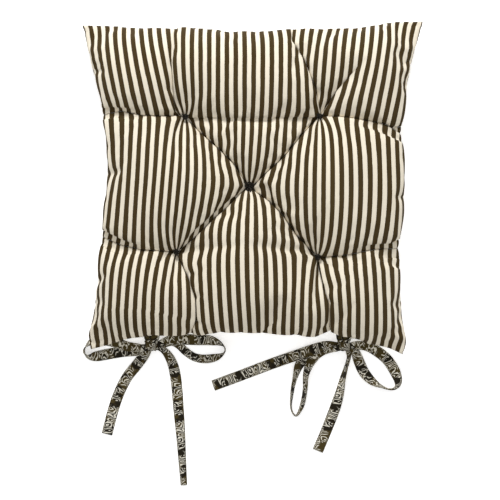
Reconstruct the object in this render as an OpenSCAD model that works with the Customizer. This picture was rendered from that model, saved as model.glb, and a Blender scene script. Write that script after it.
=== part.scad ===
// Chair seat pad: a square knife-edge cushion, tufted at five points, with a pair of
// flat cotton ties at each rear corner. Each pair is knotted in a bow.
// The origin is at the centre of the underside, under the centre tuft. +X is right,
// +Y is the front of the seat and +Z is up. The ties are at -Y and lie on the surface.

/* [Pad] */
// Width from ear to ear, along X
pad_w = 400; // [360:5:480]
// Depth from ear to ear, along Y
pad_d = 388; // [350:2:470]
// Height of the crown above the resting surface, before the tufts draw it in
pad_h = 57; // [40:1:75]
// Height of the edge seam above the resting surface
seam_z = 18; // [12:1:24]
// How far the middle of each side pulls in between the ears
side_pull = 20; // [8:1:30]
// How far the underside would bulge if nothing flattened it
underside_bulge = 6; // [3:0.5:10]

/* [Cover] */
// Thickness of the ticking
cloth_t = 0.8; // [0.5:0.1:1.2]
// Width of the seam allowance turned in at the edge
allowance_w = 10; // [6:1:12]
// Distance of the seam stitching from the edge
seam_inset = 1.5; // [1:0.1:2.5]
// Thickness of the sewing thread
thread_d = 0.6; // [0.3:0.1:0.8]

/* [Filling] */
// Gap between the filling and the cover
filling_gap = 0.3; // [0.1:0.1:0.6]

/* [Tufting] */
// Distance of the outer tufts from the centre line, along X
tuft_x = 80; // [60:1:100]
// Distance of the outer tufts from the centre line, along Y
tuft_y = 80; // [60:1:100]
// Share of the pad's height that a tuft draws in
tuft_pull = 0.62; // [0.3:0.02:0.7]
// Radius of the dimple round a tuft
dimple_r = 24; // [16:1:34]
// Share of the height drawn in along the creases between tufts
crease_pull = 0.22; // [0.05:0.01:0.35]
// Half width of a crease
crease_r = 9; // [6:1:14]
// Thickness of the tufting twine
twine_d = 1.6; // [1:0.1:2]
// Distance between the two legs of a tufting stitch
stitch_pitch = 5; // [4:0.5:7]
// Radial gap between the twine and the holes it passes through
twine_gap = 0.15; // [0.05:0.05:0.3]
// Radius of the knot that finishes a tuft
knot_r = 2.2; // [1.6:0.1:3]
// Length of the twine ends left at a knot
twine_end = 6; // [3:0.5:10]

/* [Ties] */
// Width of the folded cotton tape
tie_w = 13; // [10:0.5:16]
// Thickness of the folded cotton tape
tie_t = 1.6; // [1:0.1:1.8]
// Distance of each pair of ties from the centre line
tie_x = 114; // [104:1:124]
// Gap between the root of a tie and the seam
tie_gap = 2.5; // [1.5:0.5:4]

/* [Sewing] */
// Length of the hand-closed opening in the rear seam
opening_w = 150; // [120:10:160]
// Distance between closing stitches
stitch_step = 6; // [4:0.5:10]
// Height of a stitch across the seam
stitch_h = 3; // [2:0.5:4]
// Number of stitches in the bar that holds a pair of ties
bar_stitches = 7; // [5:1:9]
// Distance between those stitches
bar_step = 2; // [1.5:0.25:3]

/* [Hidden] */
$fn = 24;
half_w = pad_w / 2;
half_d = pad_d / 2;
rear = -1;
ease = 0.5; // exponent that rounds the crown
square = 2.4; // exponent that keeps the crown full towards the edges
flat_r = 6; // radius of the level bottom of a dimple
fold_inset = 0.3; // the allowance starts this far in from the folded edge
sink = 200; // depth of the space cut away below the resting surface
far = 900;

// Where the tufts lie on the cover's own grid, which runs from -1 to 1 each way
tuft_u = tuft_x / (half_w - side_pull * 0.8);
tuft_v = tuft_y / (half_d - side_pull * 0.8);
near = 0.03; // grid step beside a tuft
function half_lines(t) = [
    0, near, t / 3, t * 2 / 3, t - near, t, t + near, t + (1 - t) * 0.22,
    t + (1 - t) * 0.42, t + (1 - t) * 0.6, t + (1 - t) * 0.76, t + (1 - t) * 0.89, 1];
function mirrored(h) = concat([for (i = [len(h) - 1:-1:1]) -h[i]], h);
u_lines = mirrored(half_lines(tuft_u));
v_lines = mirrored(half_lines(tuft_v));
last = len(u_lines) - 1;

// Plan position of a point of the grid
function plan(u, v) = [
    u * (half_w - side_pull * (1 - v * v)),
    v * (half_d - side_pull * (1 - u * u))];
function edge_y(x) = rear * (half_d - side_pull * (1 - pow(x / half_w, 2)));

tufts = [
    plan(0, 0), plan(-tuft_u, tuft_v), plan(tuft_u, tuft_v),
    plan(-tuft_u, -tuft_v), plan(tuft_u, -tuft_v)];
creases = [
    [tufts[0], tufts[1]], [tufts[0], tufts[2]], [tufts[0], tufts[3]], [tufts[0], tufts[4]],
    [[-half_w, tufts[1].y], [half_w, tufts[1].y]],
    [[-half_w, tufts[3].y], [half_w, tufts[3].y]]];

function along(p, s) =
    let (d = s[1] - s[0]) min(1, max(0, (p - s[0]) * d / (d * d)));
function from_line(p, s) = norm(p - s[0] - along(p, s) * (s[1] - s[0]));
function dip(d, r) = exp(-pow(max(0, d - flat_r / 2) / r, 2));
function tuft_dip(p) = max([for (t = tufts) dip(norm(p - t), dimple_r)]);
function crease_dip(p) = max([for (s = creases) dip(from_line(p, s), crease_r)]);
function fullness(p) =
    (1 - tuft_pull * tuft_dip(p)) * (1 - crease_pull * crease_dip(p) * (1 - tuft_dip(p)));
function swell(u, v) =
    pow((1 - pow(abs(u), square)) * (1 - pow(abs(v), square)), ease);

// Outer faces of the two panels, then the faces of each layer below them
top_rise = pad_h - seam_z - cloth_t;
under_drop = seam_z + underside_bulge - cloth_t;
function top_z(u, v) =
    seam_z + cloth_t + top_rise * swell(u, v) * fullness(plan(u, v));
function under_z(u, v) =
    seam_z - cloth_t - under_drop * swell(u, v) * fullness(plan(u, v));
function point(u, v, z) = [plan(u, v).x, plan(u, v).y, z];
lining = cloth_t + filling_gap;

// A closed solid between two square grids of points, upper over lower, n points each way
module between(upper, lower, n) {
    e = n - 1;
    rim = concat(
        [for (i = [0:e - 1]) i],
        [for (j = [0:e - 1]) j * n + e],
        [for (i = [e:-1:1]) e * n + i],
        [for (j = [e:-1:1]) j * n]);
    faces = concat(
        [for (j = [0:e - 1], i = [0:e - 1]) each let (a = j * n + i)
            [[a, a + n + 1, a + 1], [a, a + n, a + n + 1]]],
        [for (j = [0:e - 1], i = [0:e - 1]) each let (a = n * n + j * n + i)
            [[a, a + 1, a + n + 1], [a, a + n + 1, a + n]]],
        [for (k = [0:len(rim) - 1]) each let (
            a = rim[k], b = rim[(k + 1) % len(rim)], c = a + n * n, d = b + n * n)
            [[a, b, d], [a, d, c]]]);
    polyhedron(concat(upper, lower), faces, convexity = 10);
}

// Plan outline of the pad, drawn in by a distance
module outline(inset) {
    s = 1 - inset / half_w;
    ring = concat(
        [for (i = [0:last - 1]) plan(u_lines[i], -1)],
        [for (j = [0:last - 1]) plan(1, v_lines[j])],
        [for (i = [last:-1:1]) plan(u_lines[i], 1)],
        [for (j = [last:-1:1]) plan(-1, v_lines[j])]);
    polygon(ring * s);
}

// A flat band that follows the edge, from one inset to another
module edge_band(outer, inner, z, h) {
    translate([0, 0, z]) linear_extrude(h) difference() {
        outline(outer);
        outline(inner);
    }
}

module twine_holes() {
    for (t = tufts, side = [-1, 1])
        translate([t.x + side * stitch_pitch / 2, t.y, -1])
            cylinder(r = twine_d / 2 + twine_gap, h = pad_h + 2);
}

// Upper panel of the cover, cut from striped ticking
module cover_top_panel() {
    color("Wheat") difference() {
        union() {
            between(
                [for (v = v_lines, u = u_lines) point(u, v, top_z(u, v))],
                [for (v = v_lines, u = u_lines) point(u, v, top_z(u, v) - cloth_t)],
                last + 1);
            edge_band(fold_inset, allowance_w, seam_z, cloth_t);
        }
        twine_holes();
    }
}

// Reverse of the cover, flattened where it rests
module cover_bottom_panel() {
    color("Tan") difference() {
        union() {
            between(
                [for (v = v_lines, u = u_lines)
                    point(u, v, max(under_z(u, v), 0) + cloth_t)],
                [for (v = v_lines, u = u_lines) point(u, v, under_z(u, v))],
                last + 1);
            edge_band(fold_inset, allowance_w, seam_z - cloth_t, cloth_t);
        }
        translate([-far / 2, -far / 2, -sink]) cube([far, far, sink]);
        twine_holes();
    }
}

// Loose fibre filling. It ends one grid line short of the seam
module fibre_filling() {
    us = [for (i = [1:last - 1]) u_lines[i]];
    vs = [for (i = [1:last - 1]) v_lines[i]];
    color("White") difference() {
        between(
            [for (v = vs, u = us) point(u, v, top_z(u, v) - lining)],
            [for (v = vs, u = us) point(u, v, max(under_z(u, v), 0) + lining)],
            last - 1);
        twine_holes();
    }
}

// Lockstitch round the whole edge, through both seam allowances
module seam_stitching() {
    color("DarkKhaki")
        edge_band(seam_inset, seam_inset + thread_d, seam_z - thread_d / 2, thread_d);
}

// One stitch that crosses the rear seam
module seam_stitch(x) {
    translate([x, edge_y(x) + thread_d / 2, seam_z - stitch_h / 2])
        cylinder(d = thread_d, h = stitch_h);
}

// Hand stitches that close the opening the filling went in by
module closing_stitches() {
    n = floor(opening_w / stitch_step / 2);
    color("DarkKhaki") for (i = [-n:n]) seam_stitch(i * stitch_step);
}

// Bar of stitches that holds one pair of ties in the seam
module tie_bartack(side) {
    reach = (bar_stitches - 1) / 2;
    color("DimGray")
        for (i = [-reach:reach]) seam_stitch(side * tie_x + i * bar_step);
}

// Height of the cover under and over a tuft
tuft_top = [for (i = [0:4]) i == 0 ? top_z(0, 0) : top_z(tuft_u, tuft_v)];
tuft_under = [for (i = [0:4]) i == 0 ? under_z(0, 0) : under_z(tuft_u, tuft_v)];
rest_gap = 0.15; // twine lies this far off the cloth

// One tufting stitch: two legs through the pad and a bar across the underside
module tuft_twine(i) {
    bar_z = tuft_under[i] - twine_d / 2 - rest_gap;
    leg_h = tuft_top[i] + rest_gap - bar_z;
    color("SaddleBrown") translate([tufts[i].x, tufts[i].y, bar_z]) {
        for (side = [-1, 1]) {
            translate([side * stitch_pitch / 2, 0, 0]) cylinder(d = twine_d, h = leg_h);
            translate([side * stitch_pitch / 2, 0, 0]) sphere(d = twine_d);
        }
        translate([-stitch_pitch / 2, 0, 0]) rotate([0, 90, 0])
            cylinder(d = twine_d, h = stitch_pitch);
    }
}

// Knot that ties the two legs on the face, with its trimmed ends
module tuft_knot(i) {
    color("Black") translate([tufts[i].x, tufts[i].y, tuft_top[i] + rest_gap]) {
        translate([-stitch_pitch / 2, 0, twine_d / 2]) rotate([0, 90, 0])
            cylinder(d = twine_d, h = stitch_pitch);
        for (side = [-1, 1])
            translate([side * stitch_pitch / 2, 0, 0]) cylinder(d = twine_d, h = twine_d);
        translate([0, 0, twine_d]) rotate_extrude()
            translate([knot_r - twine_d / 2, 0]) circle(d = twine_d);
        translate([0, 0, twine_d / 2]) cylinder(r = knot_r - twine_d / 4, h = twine_d);
        for (side = [-1, 1])
            translate([0, 0, twine_d * 1.5]) rotate([0, side * 62, side * 25])
                cylinder(d = twine_d * 0.8, h = twine_end);
    }
}

// Section of the folded tape: half width, then half thickness, eight corners
tape_section = [
    [1, 0.4], [0.92, 1], [-0.92, 1], [-1, 0.4], [-1, -0.4], [-0.92, -1], [0.92, -1], [1, -0.4]];
up = [0, 0, 1];
function unit(a) = a / norm(a);
function at(r, i) = [r[i][0], r[i][1], r[i][2]];
function heading(r, i) = unit(at(r, min(i + 1, len(r) - 1)) - at(r, max(i - 1, 0)));
function tape_ring(r, i) = let (
    t = heading(r, i),
    h = unit(cross(up, t)),
    n = cross(t, h),
    roll = r[i][3],
    wide = cos(roll) * h + sin(roll) * n,
    thick = cross(t, wide))
    [for (c = tape_section)
        at(r, i) + wide * c[0] * r[i][4] * tie_w / 2 + thick * c[1] * tie_t / 2];

// Tape swept along a route. Each row of a route is x, y and z from the foot of the seam at
// the pair, the roll of the tape in degrees, and its width as a share of the full width,
// because a tape bunches where it is knotted
module tape(side, route) {
    n = len(tape_section);
    m = len(route);
    points = [for (i = [0:m - 1]) each tape_ring(route, i)];
    faces = concat(
        [[for (k = [0:n - 1]) k]],
        [for (i = [0:m - 2], k = [0:n - 1]) each let (
            a = i * n + k, b = i * n + (k + 1) % n)
            [[a, a + n, b + n], [a, b + n, b]]],
        [[for (k = [n - 1:-1:0]) (m - 1) * n + k]]);
    translate([side * tie_x, edge_y(tie_x) - tie_gap, 0])
        polyhedron(points, faces, convexity = 10);
}

left_outer_route = [
    [-5, 0, 16.4, 0, 0.7], [-4.5, -3.5, 14.7, 0, 0.5], [-1, -6.5, 13.2, 0, 0.5],
    [6, -7, 10.5, 0, 0.6], [18, -6, 6, 0, 0.9], [32, -4, 2.6, 0, 1], [48, -2.5, 1.6, 0, 1],
    [64, -1.5, 2.8, 15, 1], [75, -2, 5.9, 50, 1], [82, -5.5, 7.4, 80, 1], [85, -11.5, 7.5, 90, 1],
    [82, -17.5, 7.4, 80, 1], [73, -21.5, 5.9, 45, 1], [59, -23.5, 2.6, 10, 1],
    [44, -20.5, 1.2, 0, 1], [30, -15.5, 3.2, 0, 1], [16, -11, 5, 0, 0.9], [6, -8, 7, 0, 0.6],
    [-1, -7, 9, 0, 0.5], [-7, -10.5, 7, 0, 0.6], [-13, -19.5, 4.2, 0, 0.9], [-23, -31, 1.9, 0, 1],
    [-37, -50, 1, 0, 1], [-50, -77, 1, 0, 1], [-57, -110.5, 1, 0, 1]];
left_inner_route = [
    [1, 0, 18.6, 0, 0.7], [0.5, -4, 18.4, 0, 0.5], [-3, -7, 17.1, 0, 0.5], [-10, -8.5, 14.4, 0, 0.6],
    [-20, -6, 8, 0, 0.9], [-33, -4.5, 5, 0, 1], [-50, -3.5, 3.5, 0, 1], [-66, -5.5, 4, 20, 1],
    [-77, -8, 6.4, 55, 1], [-83, -13.5, 7.4, 85, 1], [-83, -18.5, 7.5, 90, 1],
    [-77, -22.5, 7, 70, 1], [-67, -22.5, 3.4, 20, 1], [-53, -19.5, 1.2, 0, 1], [-36, -17, 1.2, 0, 1],
    [-21, -15.5, 1.2, 0, 1], [-11, -11.5, 1.6, 0, 0.9], [-3, -8, 3.5, 0, 0.6], [5, -8.5, 4, 0, 0.5],
    [14, -15, 1.5, 0, 0.7], [21, -26, 1.2, 0, 0.9], [24, -37, 1, 0, 1], [27, -54.5, 1, 0, 1],
    [28, -85.5, 1, 0, 1], [31, -119.5, 1, 0, 1], [34, -172.5, 1, 0, 1]];
right_inner_route = [
    [-6, 0, 16.4, 0, 0.7], [-5.5, -3.5, 14.7, 0, 0.5], [-2, -6, 13.4, 0, 0.5], [5, -6, 10.8, 0, 0.6],
    [16, -6.5, 6, 0, 0.85], [26, -9.5, 2.8, 0, 1], [38, -15.5, 1.2, 0, 1], [49, -24.5, 1.2, 0, 1],
    [57, -36.5, 2.8, 15, 1], [61, -48.5, 5.9, 50, 1], [60, -56.5, 7.4, 80, 1], [53, -59, 7.5, 90, 1],
    [43, -55.5, 7.4, 80, 1], [33, -49.5, 5.6, 45, 1], [24, -39, 2.4, 10, 1], [18, -26.5, 1.2, 0, 1],
    [13.5, -15.5, 3, 0, 0.85], [6, -8.5, 7.5, 0, 0.6], [-2, -6, 9, 0, 0.5], [-11, -4.5, 7, 0, 0.6],
    [-23, -5, 5.5, 0, 0.9], [-37, -9, 4.6, 0, 1], [-56, -15.5, 3.4, 0, 1], [-87, -27, 1.2, 0, 1],
    [-124, -41, 1, 0, 1], [-158, -53.5, 1, 0, 1]];
right_outer_route = [
    [0, 0, 18.6, 0, 0.7], [-0.5, -4, 18.4, 0, 0.5], [-4, -6.5, 17.1, 0, 0.5],
    [-10, -9, 14.9, 0, 0.6], [-18, -14, 9, 0, 0.7], [-27, -20.5, 5, 0, 0.9],
    [-36, -24, 4.2, 0, 0.95], [-42, -30, 4.2, 10, 1], [-48, -42, 6.4, 50, 1],
    [-49.5, -59.5, 6.8, 55, 1], [-53, -77, 7.2, 70, 1], [-60, -89, 7.5, 90, 1],
    [-65.5, -81, 7.4, 85, 1], [-63, -64.5, 6.8, 58, 1], [-59.5, -42.5, 6.4, 50, 1],
    [-55, -27, 1.4, 0, 1], [-46, -18.5, 1.2, 0, 1], [-37, -13, 1.2, 0, 1], [-24, -8.5, 1.6, 0, 0.9],
    [-11, -7, 3, 0, 0.6], [-3, -7, 4.5, 0, 0.5], [1, -10.5, 4, 0, 0.5], [1, -17, 5.8, 65, 0.8],
    [0, -24, 7.4, 76, 1], [-2, -32, 7.4, 75, 1], [-4.5, -46.5, 6.8, 60, 1],
    [-8.5, -60.5, 5.6, 40, 1], [-15, -76, 3, 12, 1], [-23, -101, 1, 0, 1], [-32.5, -133, 1, 0, 1]];

module left_tie_outer() { color("DarkOliveGreen") tape(-1, left_outer_route); }
module left_tie_inner() { color("Olive") tape(-1, left_inner_route); }
module right_tie_inner() { color("DarkOliveGreen") tape(1, right_inner_route); }
module right_tie_outer() { color("Olive") tape(1, right_outer_route); }

module tuft_twine_centre() { tuft_twine(0); }
module tuft_twine_front_left() { tuft_twine(1); }
module tuft_twine_front_right() { tuft_twine(2); }
module tuft_twine_rear_left() { tuft_twine(3); }
module tuft_twine_rear_right() { tuft_twine(4); }
module tuft_knot_centre() { tuft_knot(0); }
module tuft_knot_front_left() { tuft_knot(1); }
module tuft_knot_front_right() { tuft_knot(2); }
module tuft_knot_rear_left() { tuft_knot(3); }
module tuft_knot_rear_right() { tuft_knot(4); }
module left_tie_bartack() { tie_bartack(-1); }
module right_tie_bartack() { tie_bartack(1); }

cover_top_panel();
cover_bottom_panel();
fibre_filling();
seam_stitching();
closing_stitches();
tuft_twine_centre();
tuft_twine_front_left();
tuft_twine_front_right();
tuft_twine_rear_left();
tuft_twine_rear_right();
tuft_knot_centre();
tuft_knot_front_left();
tuft_knot_front_right();
tuft_knot_rear_left();
tuft_knot_rear_right();
left_tie_bartack();
right_tie_bartack();
left_tie_outer();
left_tie_inner();
right_tie_inner();
right_tie_outer();
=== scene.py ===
import math

import bmesh
import bpy
import numpy as np
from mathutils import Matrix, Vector


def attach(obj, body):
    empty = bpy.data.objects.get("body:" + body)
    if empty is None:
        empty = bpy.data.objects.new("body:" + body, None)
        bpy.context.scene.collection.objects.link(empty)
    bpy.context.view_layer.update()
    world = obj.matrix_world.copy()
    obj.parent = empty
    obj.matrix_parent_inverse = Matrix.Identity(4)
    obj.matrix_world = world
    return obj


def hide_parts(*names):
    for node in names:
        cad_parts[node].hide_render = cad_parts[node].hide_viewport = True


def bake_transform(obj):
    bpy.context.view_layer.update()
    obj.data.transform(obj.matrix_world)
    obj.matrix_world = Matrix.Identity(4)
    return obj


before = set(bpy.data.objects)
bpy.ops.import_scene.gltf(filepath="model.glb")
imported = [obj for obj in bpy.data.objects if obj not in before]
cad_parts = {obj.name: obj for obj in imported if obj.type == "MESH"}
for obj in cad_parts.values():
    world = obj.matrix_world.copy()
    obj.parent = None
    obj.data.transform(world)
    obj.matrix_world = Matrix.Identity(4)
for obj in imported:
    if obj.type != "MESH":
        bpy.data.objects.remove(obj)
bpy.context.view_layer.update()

col = bpy.context.scene.collection


# ---------------------------------------------------------------------------
# Room: the camera looks straight down on the pad, which lies on a pale table
# top with its ties towards the bottom of the view. Soft lamps stand beyond its
# rear edge and overhead.
seam_level = 0.018          # height of the seam all round the pad
view_width = 0.5905         # metres across the view at the seam level
lens, sensor = 85.0, 36.0
cam_data = bpy.data.cameras.new("Camera")
cam_data.lens = lens
cam_data.sensor_width = sensor
camera = bpy.data.objects.new("Camera", cam_data)
camera.location = (0.0, -0.0744, seam_level + view_width * lens / sensor)
col.objects.link(camera)
bpy.context.scene.camera = camera


def soft_lamp(name, place, aim, watts, size):
    """A square studio lamp at place, turned to aim."""
    lamp = bpy.data.lights.new(name, "AREA")
    lamp.energy = watts
    lamp.size = size
    lamp_obj = bpy.data.objects.new(name, lamp)
    lamp_obj.location = place
    lamp_obj.rotation_euler = (Vector(aim) - Vector(place)).to_track_quat("-Z", "Y").to_euler()
    col.objects.link(lamp_obj)


soft_lamp("RearLamp", (-0.10, 1.30, 0.95), (0, 0, 0), 20.5, 0.5)
soft_lamp("OverheadLamp", (0.2, -0.5, 1.9), (0, -0.1, 0), 7.0, 1.6)
world = bpy.data.worlds.new("Room")
world.use_nodes = True
world.node_tree.nodes["Background"].inputs["Color"].default_value = (1.0, 1.0, 1.0, 1.0)
world.node_tree.nodes["Background"].inputs["Strength"].default_value = 0.45
bpy.context.scene.world = world
bpy.context.scene.view_settings.view_transform = "Standard"


def new_material(name, rough, sheen=0.0):
    """A node material with its Principled shader, ready for links."""
    mat = bpy.data.materials.new(name)
    mat.use_nodes = True
    shader = mat.node_tree.nodes["Principled BSDF"]
    shader.inputs["Roughness"].default_value = rough
    shader.inputs["Sheen Weight"].default_value = sheen
    shader.inputs["Specular IOR Level"].default_value = 0.08
    return mat, mat.node_tree, shader


def made_mesh(bm, name):
    """The bmesh written out as a mesh, and let go."""
    mesh = bpy.data.meshes.new(name)
    bm.to_mesh(mesh)
    bm.free()
    return mesh


def add_object(name, mesh):
    """The mesh as an object of the scene, at the origin."""
    obj = bpy.data.objects.new(name, mesh)
    col.objects.link(obj)
    return obj


table_half = 12.0           # half the side of the table top
bm = bmesh.new()
bmesh.ops.create_grid(bm, x_segments=2, y_segments=2, size=table_half)
table_mesh = made_mesh(bm, "TableTop")
table_top = add_object("TableTop", table_mesh)
table_mat, nt, shader = new_material("PaleTable", 0.9)
shader.inputs["Base Color"].default_value = (0.93, 0.93, 0.93, 1.0)
shader.inputs["Emission Color"].default_value = (1.0, 1.0, 1.0, 1.0)
shader.inputs["Emission Strength"].default_value = 0.53
table_mesh.materials.append(table_mat)


# ---------------------------------------------------------------------------
# Ties: four flat tapes of printed cotton, folded and stitched down both
# edges, their roots caught in the seam. Each pair is tied in a soft bow, and
# its tails lie on the table.
tape_wide, tape_thick = 0.013, 0.0016
foot_y = -0.183
# Rows along each tape, in mm from the foot of its bow, then the roll of the
# tape in degrees and the share of its width left where it is squeezed.
tape_rows = {
    "LeftOuterTie": (-0.114, [
        (-5, 9.5, 17.8, 0, 1.0), (-5, 4, 17.6, 0, .9), (-5, 0, 16.4, 0, .6), (-4.5, -3, 14.7, 0, .5),
        (-1, -4, 13.2, 0, .5), (6, -3, 11.5, 0, .6), (18, 1, 7.5, 0, .9), (32, 2.2, 4.8, 0, 1),
        (48, 1.5, 3.4, 0, 1), (64, 1, 3.4, 15, 1), (75, -1, 5.9, 50, 1), (82, -5, 7.4, 80, 1),
        (84.5, -10.5, 7.5, 90, 1), (81, -16, 7.4, 80, 1), (72, -19.8, 5.9, 45, .9), (59, -21.5, 2.6, 10, .8),
        (47, -19.2, 1.2, 0, .75), (37, -12.5, 1.2, 0, .75), (29, -5, 1.2, 0, .75), (21, -1.2, 1.4, 0, .75),
        (12, -3.2, 3.4, 0, .7), (5, -5, 7, 0, .6), (-1, -6, 9, 0, .5), (-6, -8.5, 7, 0, .65),
        (-12, -16.5, 4.2, 0, .95), (-21, -28.5, 1.9, 0, 1), (-33.6, -44.5, 1, 0, 1), (-44, -66, 1, 0, 1),
        (-51, -88, 1, 0, 1), (-57, -111.5, 1, 0, 1)]),
    "LeftInnerTie": (-0.114, [
        (1, 9.5, 18.4, 0, 1.0), (1, 4, 18.6, 0, .9), (1, 0, 18.6, 0, .6), (.5, -3, 18.2, 0, .5),
        (-3, -5.5, 17.1, 0, .5), (-10, -7.5, 14.4, 0, .6), (-20, -7.5, 8.5, 0, .8), (-33, -6, 5.4, 0, .9),
        (-48, -1, 3.5, 0, 1), (-62, 1.5, 4, 20, 1), (-75, -1, 6.4, 55, 1), (-82, -7, 7.4, 85, 1),
        (-83.5, -12.5, 7.5, 90, 1), (-80, -17.2, 7, 70, 1), (-70, -18.2, 3.4, 20, 1), (-54, -15.5, 1.2, 0, 1),
        (-37, -12.7, 1.2, 0, 1), (-22, -11.5, 1.2, 0, 1), (-11, -9.5, 1.6, 0, .9), (-3, -8, 3.5, 0, .6),
        (5, -8, 4, 0, .5), (13, -13, 1.5, 0, .7), (20, -24, 1.2, 0, .9), (24, -37, 1, 0, 1),
        (26.5, -54.5, 1, 0, 1), (28.5, -80, 1, 0, .97), (31, -110, 1, 0, .86), (33, -142, 1, 0, .72),
        (35, -172.5, 1, 0, .6)]),
    "RightInnerTie": (0.114, [
        (-6, 9.5, 17.8, 0, 1.0), (-6, 4, 17.6, 0, .9), (-6, 0, 16.4, 0, .6), (-5.5, -3, 14.7, 0, .5),
        (-2, -5, 13.4, 0, .5), (5, -5, 10.8, 0, .6), (15, -4.8, 6, 0, .8), (26, -6.5, 2.8, 0, .9),
        (38, -12.5, 1.2, 0, 1), (50, -22.5, 1.2, 0, 1), (58.5, -35.5, 2.8, 15, 1), (62.5, -47, 5.9, 50, 1),
        (60.5, -54.5, 7.4, 80, 1), (53, -57.2, 7.5, 90, 1), (43, -54, 7.4, 80, 1), (32, -48, 5.6, 45, 1),
        (22.5, -38, 2.4, 10, 1), (16.5, -25, 1.2, 0, 1), (12, -14, 3, 0, .85), (6, -8, 7.5, 0, .6),
        (-2, -6, 9, 0, .5), (-11, -4.8, 7, 0, .6), (-23, -5.4, 6.2, 0, .9), (-37, -9.4, 5.4, 0, 1),
        (-56, -16, 3.8, 0, 1), (-87, -27, 1.2, 0, 1), (-124, -41, 1, 0, 1), (-158, -53.5, 1, 0, 1)]),
    "RightOuterTie": (0.114, [
        (0, 9.5, 18.4, 0, 1.0), (0, 4, 18.6, 0, .9), (0, 0, 18.6, 0, .6), (-.5, -3, 18.2, 0, .5),
        (-4, -5.5, 17.1, 0, .5), (-11, -8, 12.5, 0, .6), (-19, -9.5, 6.4, 0, .7), (-28, -12.5, 3.3, 0, .8),
        (-36, -18, 3.2, 8, .85), (-43, -27.5, 5.5, 40, .95), (-47.5, -41, 6.8, 62, 1),
        (-48.5, -58, 7.0, 70, 1),
        (-52, -76, 7.2, 72, 1), (-59, -88.5, 7.5, 90, 1), (-65, -80, 7.4, 85, 1), (-64, -62, 7.0, 72, 1),
        (-60.5, -44, 6.8, 62, 1), (-55.5, -29, 4, 30, 1), (-47, -18.5, 1.6, 0, 1), (-37, -12.8, 1.2, 0, .9),
        (-24, -8.5, 1.6, 0, .9), (-11, -7, 3, 0, .6), (-3, -6.5, 4.5, 0, .5), (2.5, -9.5, 4, 0, .5),
        (4, -16.5, 5.8, 65, .8), (2.5, -24, 7.4, 76, 1), (0, -32, 7.4, 75, 1), (-4, -46.5, 6.8, 62, 1),
        (-7.2, -62, 5.6, 42, 1), (-12.5, -80, 3, 14, 1), (-21.5, -104, 1, 0, 1), (-33, -131.5, 1, 0, 1)]),
}


def smooth_rows(rows, step):
    """Rows joined by one smooth curve and spaced evenly, step apart along it."""
    rows = np.array(rows, float)
    fine = []
    ends = np.vstack([2 * rows[0] - rows[1], rows, 2 * rows[-1] - rows[-2]])
    for k in range(len(rows) - 1):
        a, b, c, d = ends[k:k + 4]
        for t in np.linspace(0, 1, 24, endpoint=False):
            fine.append(0.5 * (2 * b + (c - a) * t + (2 * a - 5 * b + 4 * c - d) * t ** 2
                               + (3 * b - a - 3 * c + d) * t ** 3))
    fine = np.array(fine + [rows[-1]])
    run = np.r_[0, np.cumsum(np.linalg.norm(np.diff(fine[:, :3], axis=0), axis=1))]
    even = np.linspace(0, run[-1], int(run[-1] / step) + 1)
    return np.array([np.interp(even, run, fine[:, k]) for k in range(rows.shape[1])]).T, run[-1]


def tape_axes(points, roll):
    """Across and through directions of a flat tape along points."""
    heading = np.gradient(points, axis=0)
    heading /= np.linalg.norm(heading, axis=1)[:, None]
    level = np.cross((0, 0, 1), heading)
    level /= np.maximum(np.linalg.norm(level, axis=1)[:, None], 1e-9)
    out = np.cross(heading, level)
    across = np.cos(roll)[:, None] * level + np.sin(roll)[:, None] * out
    return across, np.cross(heading, across)


def tape_mesh(name, points, roll, share, wide, thick):
    """A closed flat tape: a grid rolled into a flattened tube, its ends filled."""
    count, around = len(points), 20
    bm = bmesh.new()
    along_id = bm.verts.layers.int.new("along")
    around_id = bm.verts.layers.int.new("around")
    bmesh.ops.create_grid(bm, x_segments=count - 1, y_segments=around, size=1.0)
    uv = bm.loops.layers.uv.new("tape")
    across, through = tape_axes(points, roll)
    run = np.r_[0, np.cumsum(np.linalg.norm(np.diff(points, axis=0), axis=1))]
    for v in bm.verts:
        v[along_id] = round((v.co.x + 1) / 2 * (count - 1))
        v[around_id] = round((v.co.y + 1) / 2 * around)
    lip = 0.22
    for v in bm.verts:
        i, turn = v[along_id], v[around_id] / around * 2 * math.pi
        c, s = math.cos(turn), math.sin(turn)
        x = math.copysign(abs(c) ** 0.55, c) * wide / 2 * share[i]
        plump = 1 + lip * (1 / share[i] - 1) + 0.10 * math.sin(run[i] * 700) * abs(c)
        z = math.copysign(abs(s) ** 0.6, s) * thick / 2 * plump
        v.co = Vector(points[i] + across[i] * x + through[i] * z)
    for face in bm.faces:
        for loop in face.loops:
            v = loop.vert
            side = v[around_id] / around
            flat = (4 * side - 1 if side <= 0.5 else 3 - 4 * side) * wide / 2
            loop[uv].uv = (run[v[along_id]], flat + (0.05 if side > 0.5 else 0.0))
    bmesh.ops.remove_doubles(bm, verts=bm.verts, dist=1e-6)
    rims = [e for e in bm.edges if e.is_boundary]
    bmesh.ops.holes_fill(bm, edges=rims, sides=0)
    bmesh.ops.recalc_face_normals(bm, faces=bm.faces)
    for face in bm.faces:
        face.smooth = len(face.verts) == 4
    return made_mesh(bm, name)


def nodes_of(nt):
    """Short ways to add a node, and a maths node, to a material."""
    def node(kind, **settings):
        new = nt.nodes.new("ShaderNode" + kind)
        for key, value in settings.items():
            setattr(new, key, value)
        return new

    def maths(operation, a, b=None, c=None):
        new = node("Math", operation=operation)
        for k, value in enumerate((a, b, c)):
            if value is None:
                continue
            if isinstance(value, (int, float)):
                new.inputs[k].default_value = value
            else:
                nt.links.new(value, new.inputs[k])
        return new.outputs[0]
    return node, maths


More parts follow.
